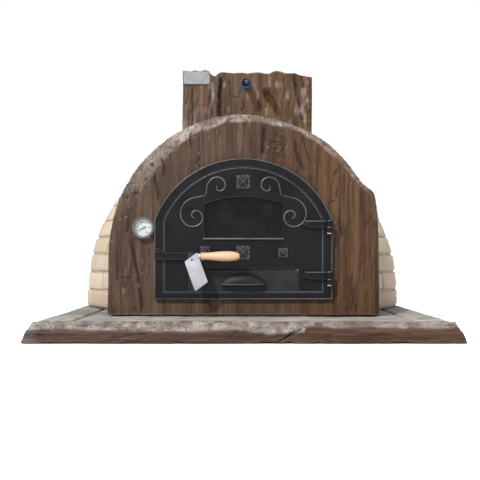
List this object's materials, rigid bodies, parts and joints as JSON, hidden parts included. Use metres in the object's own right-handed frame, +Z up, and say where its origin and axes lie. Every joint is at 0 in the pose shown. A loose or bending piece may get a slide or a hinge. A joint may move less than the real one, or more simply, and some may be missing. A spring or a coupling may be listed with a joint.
{
  "type": "wood fired pizza oven",
  "caption": "Brick dome oven on a cast slab with a wood-effect carved facade, arched cast-iron door with window and air flap, dial thermometer and chimney block with damper.",
  "frame": {"origin": "centre of the footprint on the underside of the slab", "axes": "+Z up, the facade and door face -Y, +X to the right as seen from the front, where the door hinges are"},
  "size_m": [1.18, 1.39, 0.787],
  "materials": {
    "concrete": "rough cast",
    "log_mortar": "carved and stained mortar",
    "facade_mortar": "carved wood-effect mortar",
    "block_mortar": "carved wood-effect mortar",
    "insulating_board": "matte",
    "fire_tile": "matte",
    "refractory": "matte",
    "fibre_blanket": "fibrous",
    "brick": "hand-laid brick in mortar",
    "steel": "plain",
    "dark_steel": "blued steel",
    "bush_brass": "turned",
    "plate_metal": "satin",
    "iron": "satin black",
    "flap_iron": "satin black",
    "rope": "braided glass rope",
    "oven_glass": "smoked",
    "gauge_glass": "clear",
    "gauge_metal": "bright",
    "dial_face": "matte white",
    "needle_paint": "matte black",
    "ferrule_metal": "satin",
    "beech": "oiled",
    "tie_wire": "plain wire",
    "card": "matte"
  },
  "bodies": {
    "oven": {"base_slab": "concrete", "brick_porch": "brick", "brick_skin": "brick", "chimney_block": "block_mortar", "damper_back_bush": "bush_brass", "damper_front_bush": "bush_brass", "door_frame": "iron", "facade": "facade_mortar", "flue_collar": "steel", "flue_liner": "steel", "frame_anchors": "steel", "front_log_left": "log_mortar", "front_log_right": "log_mortar", "gauge_bezel": "gauge_metal", "gauge_case": "gauge_metal", "gauge_dial": "dial_face", "gauge_glass": "gauge_glass", "gauge_stem": "steel", "hearth_insulation": "insulating_board", "hearth_tiles": "fire_tile", "hinge_pins": "steel", "insulation_blanket": "fibre_blanket", "latch_keeper": "iron", "left_side_board": "concrete", "mouth_tile": "fire_tile", "mouth_vault": "refractory", "nameplate": "plate_metal", "nameplate_rivets": "plate_metal", "refractory_dome": "refractory", "right_side_board": "concrete", "tool_peg": "facade_mortar"},
    "door": {"door_leaf": "iron", "door_studs": "iron", "door_seal": "rope", "window_seal": "rope", "window_glass": "oven_glass", "window_clamp": "iron", "window_screws": "steel", "latch_pivot_bolt": "dark_steel", "latch_pivot_nut": "dark_steel", "latch_washer": "dark_steel"},
    "latch": {"latch_lever": "iron", "latch_ferrule": "ferrule_metal", "latch_grip": "beech"},
    "tag": {"tag_tie": "tie_wire", "paper_tag": "card"},
    "flap": {"air_flap": "flap_iron", "flap_pins": "steel", "cup_pull": "flap_iron"},
    "damper": {"damper_plate": "iron", "damper_shaft": "dark_steel", "damper_coil_grip": "dark_steel", "damper_tail": "dark_steel"},
    "needle": {"gauge_spindle": "bush_brass", "gauge_pointer": "needle_paint"}
  },
  "joints": [
    {"name": "door_swing", "type": "hinge", "parent": "oven", "child": "door", "pos_m": [0.244, -0.53, 0.24], "axis": [0, 0, 1], "range_deg": [0, 110]},
    {"name": "latch_lift", "type": "hinge", "parent": "door", "child": "latch", "pos_m": [-0.15, -0.522, 0.232], "axis": [0, -1, 0], "range_deg": [0, 55]},
    {"name": "tag_swing", "type": "hinge", "parent": "latch", "child": "tag", "pos_m": [-0.133, -0.56, 0.231], "axis": [-1, 0, 0], "range_deg": [0, 45]},
    {"name": "flap_tilt", "type": "hinge", "parent": "door", "child": "flap", "pos_m": [0, -0.508, 0.1905], "axis": [-1, 0, 0], "range_deg": [0, 45]},
    {"name": "damper_turn", "type": "hinge", "parent": "oven", "child": "damper", "pos_m": [0.01, -0.32, 0.736], "axis": [0, -1, 0], "range_deg": [0, 90]},
    {"name": "gauge_needle", "type": "hinge", "parent": "oven", "child": "needle", "pos_m": [-0.2875, -0.504, 0.313], "axis": [0, 1, 0], "range_deg": [-20, 256], "stiffness_Nm_per_rad": 0.002}
  ]
}
